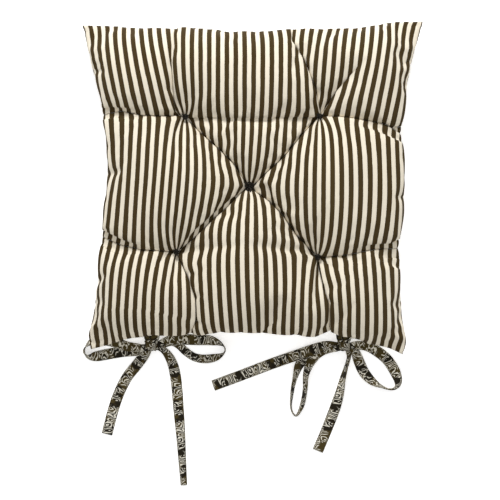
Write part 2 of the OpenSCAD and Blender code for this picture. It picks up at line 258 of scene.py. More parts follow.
def mixed(nt, node, factor, a, b):
    """Colour a to b by factor; each is a colour or a socket."""
    mix = node("Mix", data_type="RGBA")
    for socket, value in ((mix.inputs[0], factor), (mix.inputs[6], a), (mix.inputs[7], b)):
        if isinstance(value, (int, float, tuple)):
            socket.default_value = value
        else:
            nt.links.new(value, socket)
    return mix.outputs[2]


def noise(nt, node, vector, scale, detail=2.0, rough=0.5):
    """The level of a noise texture read at vector."""
    texture = node("TexNoise", noise_dimensions="3D")
    texture.inputs["Scale"].default_value = scale
    texture.inputs["Detail"].default_value = detail
    texture.inputs["Roughness"].default_value = rough
    nt.links.new(vector, texture.inputs["Vector"])
    return texture.outputs[0]


def bumped(nt, node, shader, height, distance, strength, under=None):
    """Bump of height on the shader, over an earlier bump if there is one."""
    bump = node("Bump")
    bump.inputs["Distance"].default_value = distance
    bump.inputs["Strength"].default_value = strength
    nt.links.new(height, bump.inputs["Height"])
    if under is not None:
        nt.links.new(under, bump.inputs["Normal"])
    nt.links.new(bump.outputs[0], shader.inputs["Normal"])
    return bump.outputs[0]


print_ground = (0.008, 0.006, 0.003, 1)
print_olive = (0.062, 0.044, 0.012, 1)
print_cream = (0.84, 0.80, 0.68, 1)
tape_mat, nt, shader = new_material("PrintedTape", 0.9, 0.03)
node, maths = nodes_of(nt)
uv = node("UVMap", uv_map="tape").outputs[0]
bend = node("TexNoise", noise_dimensions="3D")
bend.inputs["Scale"].default_value = 150.0
bend.inputs["Detail"].default_value = 1.0
nt.links.new(uv, bend.inputs["Vector"])
shift = node("VectorMath", operation="SCALE")
shift.inputs["Scale"].default_value = 0.0075
nt.links.new(bend.outputs["Color"], shift.inputs[0])
warped = node("VectorMath", operation="ADD")
nt.links.new(uv, warped.inputs[0])
nt.links.new(shift.outputs[0], warped.inputs[1])
cells = node("TexVoronoi", feature="F1", voronoi_dimensions="2D")
cells.inputs["Scale"].default_value = 115.0
nt.links.new(warped.outputs[0], cells.inputs["Vector"])
rings = maths("SINE", maths("MULTIPLY", cells.outputs["Distance"], 27.0))
scroll = node("MapRange", interpolation_type="SMOOTHSTEP")
scroll.inputs["From Min"].default_value = 0.30
scroll.inputs["From Max"].default_value = 0.78
nt.links.new(rings, scroll.inputs["Value"])
patch = node("MapRange", interpolation_type="SMOOTHSTEP")
patch.inputs["From Min"].default_value = 0.43
patch.inputs["From Max"].default_value = 0.48
nt.links.new(noise(nt, node, uv, 100.0, 1.0), patch.inputs["Value"])
lines = maths("MULTIPLY", scroll.outputs[0], patch.outputs[0])
ground_share = node("MapRange", interpolation_type="SMOOTHSTEP")
ground_share.inputs["From Min"].default_value = 0.48
ground_share.inputs["From Max"].default_value = 0.55
nt.links.new(noise(nt, node, warped.outputs[0], 110.0, 1.0), ground_share.inputs["Value"])
ground = mixed(nt, node, ground_share.outputs[0], print_olive, print_ground)
printed = mixed(nt, node, lines, ground, print_cream)
yarn = noise(nt, node, uv, 2600.0, 1.0)
faded = mixed(nt, node, maths("MULTIPLY", yarn, 0.10), printed, (0.20, 0.17, 0.11, 1))
uvs = node("SeparateXYZ")
nt.links.new(uv, uvs.inputs[0])
# a line of machine stitching runs along each folded edge
off_line = maths("ABSOLUTE", maths("SUBTRACT", maths("ABSOLUTE", uvs.outputs[1]), tape_wide / 2 - 0.0014))
in_line = maths("LESS_THAN", off_line, 0.00022)
in_stitch = maths("LESS_THAN", maths("FRACT", maths("DIVIDE", uvs.outputs[0], 0.0024)), 0.66)
stitch = maths("MULTIPLY", in_line, in_stitch)
nt.links.new(mixed(nt, node, stitch, faded, (0.12, 0.09, 0.04, 1)), shader.inputs["Base Color"])
weave = maths("MULTIPLY", maths("SINE", maths("MULTIPLY", uvs.outputs[0], 9000.0)),
              maths("SINE", maths("MULTIPLY", uvs.outputs[1], 9000.0)))
first = bumped(nt, node, shader, maths("ADD", weave, maths("MULTIPLY", stitch, 3.0)), 0.00008, 0.5)
bumped(nt, node, shader, noise(nt, node, uv, 240.0, 2.0), 0.0006, 0.5, first)

tape_bodies = {
    "LeftOuterTie": ("left_tie_outer", "left_bow"),
    "LeftInnerTie": ("left_tie_inner", "left_bow"),
    "RightInnerTie": ("right_tie_inner", "right_bow"),
    "RightOuterTie": ("right_tie_outer", "right_bow"),
}
tape_pitch = 1.6            # mm between rings along a tape
for name, (foot_x, rows) in tape_rows.items():
    rows, length = smooth_rows(rows, tape_pitch)
    points = rows[:, :3] / 1000 + np.array([foot_x, foot_y, 0])
    mesh = tape_mesh(name, points, np.radians(rows[:, 3]), rows[:, 4], tape_wide, tape_thick)
    mesh.materials.append(tape_mat)
    tape = add_object(name, mesh)
    node_name, bow = tape_bodies[name]
    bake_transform(tape)
    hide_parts(node_name)


# ---------------------------------------------------------------------------
# Bow knots: the short band of the same printed cotton tape that wraps each
# crossing once and pulls it together. It is modelled as a closed, creased band.
def ring_mesh(name, points, wide, thick, creases):
    """A closed band of tape that runs round points, pinched into folds."""
    count, around = len(points), 16
    bm = bmesh.new()
    along_id = bm.verts.layers.int.new("along")
    around_id = bm.verts.layers.int.new("around")
    bmesh.ops.create_grid(bm, x_segments=count, y_segments=around, size=1.0)
    uv = bm.loops.layers.uv.new("tape")
    for v in bm.verts:
        v[along_id] = round((v.co.x + 1) / 2 * count)
        v[around_id] = round((v.co.y + 1) / 2 * around)
    centre = points.mean(0)
    run = np.r_[0, np.cumsum(np.linalg.norm(np.diff(np.vstack([points, points[:1]]), axis=0), axis=1))]
    for face in bm.faces:
        for loop in face.loops:
            v = loop.vert
            side = v[around_id] / around
            flat = (4 * side - 1 if side <= 0.5 else 3 - 4 * side) * wide / 2
            loop[uv].uv = (0.21 + run[v[along_id]], flat)
    for v in bm.verts:
        i, turn = v[along_id] % count, v[around_id] / around * 2 * math.pi
        c, s = math.cos(turn), math.sin(turn)
        heading = points[(i + 1) % count] - points[i - 1]
        heading /= np.linalg.norm(heading)
        across = np.array([1.0, 0, 0]) - heading[0] * heading
        across /= np.linalg.norm(across)
        out = np.cross(heading, across)
        if out @ (points[i] - centre) < 0:
            out = -out
        pinch = 1 - 0.22 * abs(math.sin(v[along_id] / count * 2 * math.pi))
        x = math.copysign(abs(c) ** 0.6, c) * wide / 2 * pinch
        ridge = creases * math.cos(x / wide * 4 * math.pi + 0.8 * math.sin(i / count * 6.3)) * 0.5
        z = math.copysign(abs(s) ** 0.6, s) * thick / 2 + ridge
        v.co = Vector(points[i] + across * x + out * z)
    bmesh.ops.remove_doubles(bm, verts=bm.verts, dist=1e-6)
    bmesh.ops.recalc_face_normals(bm, faces=bm.faces)
    for face in bm.faces:
        face.smooth = True
    return made_mesh(bm, name)


knot_wide, knot_creases = 0.0145, 0.0009
turns = np.linspace(0, 2 * math.pi, 41)[:-1]
for bow, name, knot_x in (("left_bow", "LeftBowKnot", -0.1185), ("right_bow", "RightBowKnot", 0.111)):
    # the ring leans back at its top, against the edge of the pad
    loop = np.array([(knot_x + 0.0012 * math.sin(t),
                      foot_y - 0.0052 + 0.0052 * math.cos(t) + 0.0020 * math.sin(t),
                      0.0102 + 0.0086 * math.sin(t)) for t in turns])
    mesh = ring_mesh(name, loop, knot_wide, tape_thick, knot_creases)
    mesh.materials.append(tape_mat)
    knot = add_object(name, mesh)
    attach(knot, bow)


# ---------------------------------------------------------------------------
# Cover: two squares of striped cotton ticking, sewn edge to edge and turned
# right side out. The filling puffs them up and five tufts pull them together,
# so folds run between the tufts and out to the sides.
cut_half = 0.2              # half the side of each square as cut
cells_across = 110
tuft_cut = 0.090            # where the tufts go through the flat cloth
tufts = [(-0.0006, 0.0), (-0.0756, 0.0815), (0.0815, 0.0815), (-0.0862, -0.0768), (0.0791, -0.0827)]
tufts_flat = [(0, 0), (-tuft_cut, tuft_cut), (tuft_cut, tuft_cut),
              (-tuft_cut, -tuft_cut), (tuft_cut, -tuft_cut)]


def mm(pairs):
    """Places in mm from the pad's centre, as metres."""
    return np.array(pairs, float) / 1000


# The outline of the made-up pad: the places its four edges pass through.
sides = {
    "left": mm([(-199.5, 192.6), (-192.3, 164.2), (-187.6, 135.8), (-179.4, 107.5), (-177, 93.3),
                (-174.6, 86.2), (-177, 79.1), (-171.1, 57.9), (-171.1, 43.7), (-169.9, 8.3),
                (-173.4, -20.1), (-174.6, -48.4), (-175.8, -59.1), (-178.2, -62.6), (-179.4, -76.8),
                (-181.7, -90.9), (-184.1, -112.2), (-185.3, -133.5), (-188.8, -161.8), (-192.3, -176),
                (-189, -193.7)]),
    "right": mm([(205.5, 197.2), (204.8, 192.5), (196.5, 164.2), (191.8, 135.8), (187, 107.5),
                 (182.3, 79.1), (180.5, 62.6), (182.3, 43.7), (183.5, -5.9), (182.3, -34.2),
                 (180, -55.5), (177.6, -62.6), (178.8, -83.9), (180, -119.3), (182.3, -147.6),
                 (183.5, -168.9), (187, -183.1), (183.1, -199.6)]),
    "rear": mm([(-199.5, 192.6), (-167.7, 191.7), (-82.7, 190.6), (-44.9, 189.4), (-16.5, 187.6),
                (11.8, 188.2), (40.2, 187), (59.1, 188.1), (85, 189.1), (106.3, 191.6),
                (125.2, 191.7), (163, 195.3), (205.5, 197.2)]),
    "front": mm([(-189, -193.7), (-153.5, -183.1), (-82.7, -176), (-59.1, -176), (-11.8, -174),
                 (13, -173.5), (35.4, -176), (59.1, -177.2), (80.3, -177.2), (92.1, -170.1),
                 (106.3, -178.3), (118.1, -180.7), (165.3, -192.5), (183.1, -199.6)]),
}


def along_side(side, share):
    """The place a share of the way along one side of the outline."""
    line = sides[side]
    run = np.r_[0, np.cumsum(np.hypot(*np.diff(line, axis=0).T))]
    return np.array([np.interp(share * run[-1], run, line[:, k]) for k in (0, 1)])


def outline_place(x, y):
    """Where a point on the edge of the flat square lies on the made-up pad."""
    u, v = (x / cut_half + 1) / 2, (y / cut_half + 1) / 2
    if v > 0.9999:
        return along_side("rear", u)
    if v < 0.0001:
        return along_side("front", u)
    return along_side("left" if u < 0.5 else "right", 1 - v)


bm = bmesh.new()
lower = bm.verts.layers.int.new("lower")
bmesh.ops.create_grid(bm, x_segments=cells_across, y_segments=cells_across, size=cut_half)
copy = bmesh.ops.duplicate(bm, geom=list(bm.verts) + list(bm.edges) + list(bm.faces))["geom"]
low_faces = [f for f in copy if isinstance(f, bmesh.types.BMFace)]
bmesh.ops.reverse_faces(bm, faces=low_faces)
for f in low_faces:
    f.material_index = 1
for v in [g for g in copy if isinstance(g, bmesh.types.BMVert)]:
    v[lower] = 1
uv = bm.loops.layers.uv.new("cloth")
for f in bm.faces:
    f.smooth = True
    for loop in f.loops:
        loop[uv].uv = loop.vert.co.xy
for v in bm.verts:
    inside = (1 - abs(v.co.x / cut_half) ** 8) * (1 - abs(v.co.y / cut_half) ** 8)
    v.co.z = (-0.001 if v[lower] else 0.001) * inside
bmesh.ops.remove_doubles(bm, verts=bm.verts, dist=1e-5)
flat = np.array([v.co[:2] for v in bm.verts])
is_top = np.array([v[lower] == 0 for v in bm.verts])
pad_mesh = made_mesh(bm, "PadCover")
on_edge = np.abs(flat).max(1) > cut_half - 1e-4

# The flat squares are drawn in to the outline and the tufts: a thin-plate
# spline carries every point between.
guides, places = [], []
for i in range(21):
    for u, v in ((i / 20, 1), (i / 20, 0), (0, i / 20), (1, i / 20)):
        at = ((2 * u - 1) * cut_half, (2 * v - 1) * cut_half)
        if at not in guides:
            guides.append(at)
            places.append(outline_place(*at) - at)
for at, place in zip(tufts_flat, tufts):
    guides.append(at)
    places.append(np.array(place) - at)
guides, places = np.array(guides), np.array(places)


def plate(square):
    """The thin plate's bending term, from a squared distance."""
    return 0.5 * square * np.log(square + 1e-12)


count = len(guides)
system = np.zeros((count + 3, count + 3))
system[:count, :count] = plate(((guides[:, None] - guides[None]) ** 2).sum(-1)) + np.eye(count) * 2e-6
system[:count, count] = 1
system[:count, count + 1:] = guides
system[count:, :count] = system[:count, count:].T
weights = np.linalg.solve(system, np.r_[places, np.zeros((3, 2))])
reach = plate(((flat[:, None] - guides[None]) ** 2).sum(-1))
plan = flat + reach @ weights[:count] + weights[count] + flat @ weights[count + 1:]
for k in np.where(on_edge)[0]:
    plan[k] = outline_place(*flat[k])
# The filling stands out beyond the seam along the middle of each side: the
# seam lies a little further in than the pad's outline, and the cloth above it
# rises almost straight.
seam_in, bulge_run, bulge_fade = 0.005, 0.008, 0.045
for axis in (0, 1):
    for sign in (-1, 1):
        run_in = cut_half - sign * flat[:, axis]
        along = np.clip(1.5 * np.cos(flat[:, 1 - axis] / cut_half * math.pi / 2) - 0.3, 0, 1)
        below = seam_in * (1 - np.clip(run_in / bulge_run, 0, 1)) ** 2 - np.minimum(run_in, bulge_run)
        beyond = -bulge_run * np.exp(-np.clip(run_in - bulge_run, 0, None) / bulge_fade)
        plan[:, axis] -= sign * along * np.where(run_in < bulge_run, below, beyond)
for place in tufts:
    off = plan - np.array(place)
    plan -= off * (0.22 * np.exp(-(np.hypot(*off.T) / 0.022) ** 2))[:, None]

# Folds in the top: their line, how deep they cut at each point of it (share
# of the crown), how wide their soft and tight parts are, the tight part's
# share, and how much cloth (mm) each side is lost in them.
C, TL, TR, BL, BR = (-0.6, 0), (-75.6, 81.5), (81.5, 81.5), (-86.2, -76.8), (79.1, -82.7)
folds = [
    ([TL, (-57.9, 60.8), (-35.4, 41.9), (-23.6, 30.7), (-10.6, 11.8),
      C], [.8, .66, .56, .56, .66, .85], .018, .6, 4.5),
    ([TR, (62.6, 60.8), (43.7, 37.8), (18.9, 15.4), C], [.8, .66, .56, .66, .85], .018, .6, 4.5),
    ([C, (-11.8, -10.6), (-27.2, -27.2), (-39, -37.3), (-54.3, -52.4), (-64.1, -60.9), BL],
     [.85, .66, .56, .54, .56, .6, .8], .019, .6, 4.0),
    ([(-8.3, -5.9), (-22, -13.7), (-42.2, -30.6), (-50.8, -39), (-61.4, -47.2), (-73.2, -60.2)],
     [.3, .34, .34, .34, .3, .2], .007, .7, 3.0),
    ([C, (20.1, -16.5), (36.6, -33.1), (50.8, -54.3), BR], [.85, .66, .56, .6, .8], .018, .6, 4.5),
    ([TL, (-102.7, 82.1), (-126.4, 82.7), (-153.5, 88.6), (-172.4, 85)],
     [.8, .6, .5, .45, .5], .016, .55, 4.0),
    ([TR, (113.4, 80.3), (142.9, 75.6), (159.4, 72), (177.2, 62.6)], [.8, .6, .5, .42, .5], .016, .55, 4.0),
    ([BL, (-103.9, -75), (-131.1, -73.2), (-153.5, -68.5),
      (-174.8, -59.1)], [.8, .6, .5, .45, .5], .016, .55, 4.0),
    ([BR, (107.5, -80.3), (132.3, -76.8), (155.9, -73.2), (174.8, -72)],
     [.8, .6, .5, .45, .5], .016, .55, 4.0),
    ([(107.5, -81.5), (132.3, -90.9), (147.6, -96.8)], [.25, .2, 0], .008, .5, 1.2),
    ([TL, (-41.3, 80.3), (2.4, 79.1), (47.2, 80.3), TR], [.6, .36, .3, .34, .6], .017, .45, 2.2),
    ([BL, (-41.3, -75.6), (0, -74.4), (41.3, -76.8), BR], [.5, .14, .08, .14, .5], .014, .3, .3),
    ([TL, (-88.6, 88.6), (-89.8, 120.5), (-90.9, 142.9),
      (-88.6, 159.4)], [.6, .36, .28, .12, 0], .012, .5, 4.0),
    ([(-82.7, 77.9), (-87.4, 61.4), (-89.8, 43.7)], [.5, .28, 0], .010, .5, 1.2),
    ([TR, (77.9, 98), (75.6, 113.4), (62.6, 147.6), (48.4, 170.1),
      (49.6, 183.1)], [.6, .36, .32, .28, .2, .1], .012, .5, 4.5),
    ([TR, (101.6, 112.2), (116.9, 128.7), (127.5, 141.7)], [.6, .32, .2, 0], .012, .5, 3.5),
    ([BL, (-72, -106.3), (-63.8, -131.1), (-62.6, -157.1),
      (-68.5, -167.7)], [.6, .36, .32, .3, .2], .012, .5, 6.5),
    ([BL, (-95.7, -122.8)], [.5, 0], .010, .5, 1.2),
    ([(-100.4, -83.9), (-120.5, -103.9)], [.3, 0], .008, .5, .8),
    ([BR, (85, -116.9), (92.1, -138.2), (93.3, -163), (95.7, -171.2)],
     [.6, .36, .32, .35, .35], .012, .5, 6.0),
    ([BR, (69.7, -138.2)], [.5, 0], .010, .5, 1.2),
    ([BR, (93.3, -92.1), (115.7, -108.7)], [.5, .25, 0], .010, .5, 1.2),
    ([(11.8, -172.4), (21.3, -164.2), (34.2, -153.5)], [.35, .25, 0], .008, .6, 1.5),
    ([(-173.6, 93.3), (-161.8, 94.5), (-144.1, 92.1), (-118.1, 86.8)], [.5, .4, .3, 0], .006, .6, 2.4),
    ([(-173.6, 77.9), (-158.3, 80.3), (-139.4, 76.8), (-120.5, 77.9)], [.5, .4, .25, 0], .006, .6, 2.4),
    ([(-185.4, 138.2), (-176, 137), (-166.5, 132.3)], [.3, .2, 0], .006, .6, 1.4),
    ([(-173.6, -49.6), (-160.6, -55.5), (-146.4, -62.6), (-127.5, -68.5)], [.5, .4, .3, 0], .006, .6, 2.4),
    ([(-176, -68.5), (-163, -75.6), (-146.4, -80.3), (-118.1, -77.9)], [.5, .4, .25, 0], .006, .6, 2.2),
    ([(178.3, 72), (166.5, 70.9), (148.8, 79.1), (120.5, 83.9)], [.5, .4, .25, 0], .006, .6, 2.4),
    ([(178.3, 52), (165.3, 56.7), (144.1, 65), (120.5, 69.7)], [.5, .4, .25, 0], .006, .6, 2.0),
    ([(191.3, 150), (181.9, 145.3), (172.4, 135.8)], [.3, .2, 0], .006, .6, 1.4),
    ([(176, -60.2), (164.2, -65), (144.1, -67.3), (120.5, -73.2)], [.5, .4, .3, 0], .006, .6, 2.4),
    ([(176, -83.9), (163, -82.7), (139.4, -86.2)], [.5, .4, 0], .006, .6, 2.4),
    ([(176, -96.8), (164.2, -93.3), (148.8, -95.7)], [.35, .25, 0], .006, .6, 1.6),
    ([(-172.4, 13), (-165.3, 14.2), (-157.1, 13)], [.25, .15, 0], .006, .6, 1.2),
    ([(180.7, -10.6), (173.6, -11.8), (165.3, -10.6)], [.25, .15, 0], .006, .6, 1.2),
    ([(-61, 68), (-52.5, 60.5), (-32, 41), (-20.5, 29.5), (-9, 14)], [.2, .3, .34, .34, .2], .005, .7, 1.2),
    ([(67, 70), (59.5, 61.5), (41, 39.5), (17, 18)], [.2, .3, .34, .2], .005, .7, 1.0),
    ([(11, -14), (22.5, -13.5), (39.5, -30), (54.5, -52), (72, -70)], [.2, .34, .34, .34, .2], .005, .7, 1.2),
]
# short gathers round each tuft, where the cloth is bunched by the twine
gathers = ((C, 16, (12, 168, 190, 350, 78, 104, 255, 285)),
           (TL, 18, (60, 78, 112, 128, 205, 250)),
           (TR, 17, (80, 122, 140, 255, 300)),
           (BL, 17, (95, 140, 160, 245, 305, 330)),
           (BR, 17, (40, 100, 228, 258, 275, 300)))
for (x, y), reach, angles in gathers:
    for turn in angles:
        tip = (x + reach * math.cos(math.radians(turn)), y + reach * math.sin(math.radians(turn)))
        folds.append(([(x, y), tip], [.5, 0], .0045, .6, .2))


def near_line(line, values, points):
    """Nearest place on a line of points, its distance, and the line's value there."""
    best = np.full(len(points), 9.0)
    value, spot = np.zeros(len(points)), np.zeros((len(points), 2))
    for a, b, va, vb in zip(line[:-1], line[1:], values[:-1], values[1:]):
        t = np.clip((points - a) @ (b - a) / ((b - a) @ (b - a)), 0, 1)
        at = a + t[:, None] * (b - a)
        far = np.hypot(*(points - at).T)
        closer = far < best
        best[closer] = far[closer]
        value[closer] = (va + (vb - va) * t)[closer]
        spot[closer] = at[closer]
    return best, value, spot


tight = 0.0048
left_up = np.ones(len(plan))
pinned = np.zeros(len(plan))
for line, cuts, soft, share, lost in folds:
    far, cut, spot = near_line(mm(line), cuts, plan)
    left_up *= 1 - cut * ((1 - share) * np.exp(-far / soft) + share * np.exp(-far / tight))
    pinned = np.maximum(pinned, np.where(far < 0.0022, cut, 0))
dimple = np.ones(len(plan))
for place in tufts:
    dimple *= 1 - 0.78 * np.exp(-np.hypot(*(plan - np.array(place)).T) / 0.023)


def crown(room, radius, power):
    """How full the pad is, 0 to 1, room metres in from its edge."""
    t = np.clip(room / radius, 0, 1)
    return (1 - (1 - t) ** 2) ** power


puff_top, puff_low = 0.044, 0.0195
room = cut_half - np.abs(flat)
swell = crown(room[:, 0], 0.075, 0.70) * crown(room[:, 1], 0.075, 0.70)
height = np.where(is_top, seam_level + puff_top * swell * left_up * dimple,
                  seam_level - puff_low * swell * (0.75 + 0.25 * left_up) * (1 - 0.7 * (1 - dimple)))
height[on_edge] = seam_level
shape = np.c_[plan, height]

# The filling's push is simulated as pressure inside the sewn cover, which is
# held at the tufts, along the folds and a little round the seam.
held = np.where(is_top, np.minimum(0.9, pinned * 1.5), 0.3 * pinned)
held[on_edge] = np.where(np.abs(flat[on_edge, 1]) > cut_half - 1e-4, 1.0, 0.7)
for place in tufts:
    far = np.hypot(*(plan - np.array(place)).T)
    for half in (True, False):
        group = np.where(is_top == half)[0]
        nearest = group[np.argsort(far[group])[:4]]
        held[nearest] = 1
        shape[nearest, 2] = 0.024 if half else 0.0075
corners = [int(np.argmin(((flat - np.array(c)) ** 2).sum(1))) for c in
           ((-cut_half, cut_half), (cut_half, cut_half), (cut_half, -cut_half), (-cut_half, -cut_half))]
held[corners] = 1



def points_of(mesh):
    """Every vertex of a mesh, as rows of x, y, z."""
    points = np.empty(len(mesh.vertices) * 3)
    mesh.vertices.foreach_get("co", points)
    return points.reshape(-1, 3)


def set_points(mesh, points):
    """Move every vertex of a mesh to its row of points."""
    mesh.vertices.foreach_set("co", points.astype(np.float32).ravel())
    mesh.update()


set_points(pad_mesh, shape)
pad = add_object("PadCover", pad_mesh)
holds = pad.vertex_groups.new(name="held")
for k in np.where(held > 0)[0]:
    holds.add([int(k)], float(held[k]), "REPLACE")
sim = pad.modifiers.new("Filling", "CLOTH")
cloth = sim.settings
cloth.quality = 6
cloth.mass = 0.3
cloth.shrink_min = -0.07
cloth.tension_stiffness = cloth.compression_stiffness = 15
cloth.shear_stiffness = 5
cloth.bending_stiffness = 0.5
cloth.air_damping = 1.0
cloth.use_pressure = True
cloth.uniform_pressure_force = 14.0
cloth.vertex_group_mass = "held"
cloth.pin_stiffness = 1.0
cloth.effector_weights.gravity = 0
sim.collision_settings.use_collision = False
sim.collision_settings.use_self_collision = False
last_frame = 20
sim.point_cache.frame_start, sim.point_cache.frame_end = 1, last_frame
for step in range(1, last_frame + 1):
    bpy.context.scene.frame_set(step)
puffed = pad.evaluated_get(bpy.context.evaluated_depsgraph_get()).data
moved = points_of(puffed) - shape
size = np.linalg.norm(moved, axis=1)
most = 0.020
shape += moved * (most * np.tanh(size / most) / np.maximum(size, 1e-9))[:, None]
bpy.context.scene.frame_set(1)
pad.modifiers.remove(sim)

# The finished pad is as thick as it measures: its crown and its underside
# are drawn in to the real height, and the underside lies flat on the table.
crown_level, low_squash, table_gap = 0.0570, 0.95, 0.0008
above = shape[:, 2] > seam_level
shape[above, 2] = seam_level + (shape[above, 2] - seam_level) * (crown_level - seam_level) / (
    shape[:, 2].max() - seam_level)
shape[~above, 2] = np.maximum(seam_level + (shape[~above, 2] - seam_level) * low_squash, table_gap)
set_points(pad_mesh, shape)

pad_soft = pad.modifiers.new("Softened", "SUBSURF")
pad_soft.levels = pad_soft.render_levels = 1
finer = bpy.data.meshes.new_from_object(pad.evaluated_get(bpy.context.evaluated_depsgraph_get()))
bpy.data.objects.remove(pad)

# Cloth lost in the folds: points beside a fold are drawn in to its line and
# sink into it, so the two lips meet and the stripes break across it.
spots = points_of(finer)
top_vert = np.zeros(len(spots), bool)
low_vert = np.zeros(len(spots), bool)
flat_at = np.zeros((len(spots), 2))
cloth_uv = finer.uv_layers["cloth"].data
for poly in finer.polygons:
    for loop in poly.loop_indices:
        k = finer.loops[loop].vertex_index
        flat_at[k] = cloth_uv[loop].uv
        (low_vert if poly.material_index else top_vert)[k] = True
edge_vert = top_vert & low_vert
room = (cut_half - np.abs(flat_at)).min(1)
share_of = np.where(top_vert, 1.0, np.exp(-room / 0.012))
sinks = np.where(edge_vert, 0.0, np.where(top_vert, np.clip(room / 0.006, 0, 1), 0))
draw_reach, reach_per_mm = 0.020, 0.0045    # how far beside a fold the cloth is drawn in
sink_slope = 1.35                           # depth of a fold for each metre it is drawn in
undrawn = spots[:, :2].copy()
for line, cuts, soft, share, lost in folds:
    far, cut, spot = near_line(mm(line), cuts, spots[:, :2])
    hidden = lost / 1000 * np.clip(cut / 0.45, 0, 1)
    drawn = np.maximum(far - hidden * np.exp(-far / (draw_reach + reach_per_mm * lost)), 0.05 * far)
    away = (spots[:, :2] - spot) / np.maximum(far, 1e-9)[:, None]
    spots[:, :2] -= away * ((far - drawn) * share_of)[:, None]
    spots[:, 2] -= sink_slope * np.clip(hidden - far, 0, None) * sinks
# Round each tuft the cloth stays a small funnel and is not drawn to a point.
tuft_funnel, tuft_pit, pit_level = 0.008, 0.012, 0.014
for place in tufts:
    off = undrawn - np.array(place)
    far = np.hypot(*off.T)
    least = 0.4 * np.exp(-(far / tuft_funnel) ** 2)
    tight_spot = top_vert & (np.hypot(*(spots[:, :2] - np.array(place)).T) < least * far)
    spots[tight_spot, :2] = np.array(place) + off[tight_spot] * least[tight_spot, None]
    deep = top_vert & (far < tuft_pit)
    spots[deep, 2] = np.maximum(spots[deep, 2], pit_level)
least_level = 0.003         # below this the cloth is eased on to the table
low = spots[:, 2] < least_level
spots[low, 2] = least_level * np.exp((spots[low, 2] - least_level) / least_level)
set_points(finer, spots)


cloth_thick = 0.0006


def panel(name, index):
    """One of the two ticking squares, cut from the closed cover and given its thickness."""
    bm = bmesh.new()
    bm.from_mesh(finer)
    others = [f for f in bm.faces if f.material_index != index]
    bmesh.ops.delete(bm, geom=others, context="FACES")
    for f in bm.faces:
        f.material_index = 0
    cut = add_object(name, made_mesh(bm, name))
    wall = cut.modifiers.new("Wall", "SOLIDIFY")
    wall.thickness = cloth_thick
    wall.offset = -1.0
    made = bpy.data.meshes.new_from_object(cut.evaluated_get(bpy.context.evaluated_depsgraph_get()))
    bpy.data.objects.remove(cut)
    made.name = name
    return made


ticking_dark = (0.034, 0.020, 0.005, 1)
ticking_cream = (0.87, 0.80, 0.66, 1)
stripe_pitch = 0.010
ticking, nt, shader = new_material("StripedTicking", 0.92, 0.02)
node, maths = nodes_of(nt)
uv = node("UVMap", uv_map="cloth").outputs[0]
split = node("SeparateXYZ")
nt.links.new(uv, split.inputs[0])
waver = maths("MULTIPLY", maths("SUBTRACT", noise(nt, node, uv, 900.0, 1.0), 0.5), 0.00022)
across = maths("ADD", split.outputs[0], waver)
phase = maths("FRACT", maths("ADD", maths("DIVIDE", across, stripe_pitch), 0.25))
from_mid = maths("ABSOLUTE", maths("SUBTRACT", phase, 0.25))
inside = node("MapRange", interpolation_type="SMOOTHSTEP")
inside.inputs["From Min"].default_value = 0.264
inside.inputs["From Max"].default_value = 0.290
nt.links.new(from_mid, inside.inputs["Value"])
yarns = node("Mapping")
yarns.inputs["Scale"].default_value = (2400, 90, 1)
nt.links.new(uv, yarns.inputs["Vector"])
streak = noise(nt, node, yarns.outputs[0], 1.0, 2.0)
dark = mixed(nt, node, streak, ticking_dark, (0.060, 0.037, 0.011, 1))
cream = mixed(nt, node, streak, ticking_cream, (0.82, 0.74, 0.60, 1))
woven = mixed(nt, node, inside.outputs[0], dark, cream)
broad = noise(nt, node, uv, 14.0, 3.0)
aged = mixed(nt, node, maths("MULTIPLY", broad, 0.06), woven, (0.42, 0.33, 0.20, 1))
nt.links.new(aged, shader.inputs["Base Color"])
weave = maths("MULTIPLY", maths("SINE", maths("MULTIPLY", split.outputs[0], 8500.0)),
              maths("SINE", maths("MULTIPLY", split.outputs[1], 8500.0)))
first = bumped(nt, node, shader, weave, 0.00008, 0.45)
bumped(nt, node, shader, noise(nt, node, uv, 75.0, 3.0, 0.55), 0.0012, 0.35, first)

for name, index, cad_node in (("TopPanel", 0, "cover_top_panel"), ("BottomPanel", 1, "cover_bottom_panel")):
    mesh = panel(name, index)
    mesh.materials.append(ticking)
    cover = add_object(name, mesh)
    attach(cover, "pad")
    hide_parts(cad_node)


# ---------------------------------------------------------------------------
# Filling: a loose pad of polyester fibre, stuffed in through a gap in the rear
# seam. It follows the inside of the cover and shows only where that is cut open.
bm = bmesh.new()
bm.from_mesh(pad_mesh)
for v in bm.verts:
    k = v.index
    v.co.x *= 0.968
    v.co.y = (v.co.y + 0.003) * 0.965 - 0.003
    v.co.z = max(0.018 + (v.co.z - 0.018) * 0.80, 0.0035)
bmesh.ops.delete(bm, geom=[v for v in bm.verts if on_edge[v.index]], context="VERTS")
rims = [e for e in bm.edges if e.is_boundary]
bmesh.ops.bridge_loops(bm, edges=rims)
bmesh.ops.recalc_face_normals(bm, faces=bm.faces)
for f in bm.faces:
    f.smooth = True
    f.material_index = 0
fill_mesh = made_mesh(bm, "FibreFilling")
fibre, nt, shader = new_material("PolyesterFibre", 0.95, 0.3)
node, maths = nodes_of(nt)
place = node("TexCoord").outputs["Object"]
strands = noise(nt, node, place, 420.0, 6.0, 0.7)
nt.links.new(mixed(nt, node, strands, (0.80, 0.79, 0.76, 1), (0.93, 0.92, 0.90, 1)),
             shader.inputs["Base Color"])
bumped(nt, node, shader, strands, 0.002, 0.6)
fill_mesh.materials.append(fibre)
filling = add_object("FibreFilling", fill_mesh)
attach(filling, "pad")
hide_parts("fibre_filling")


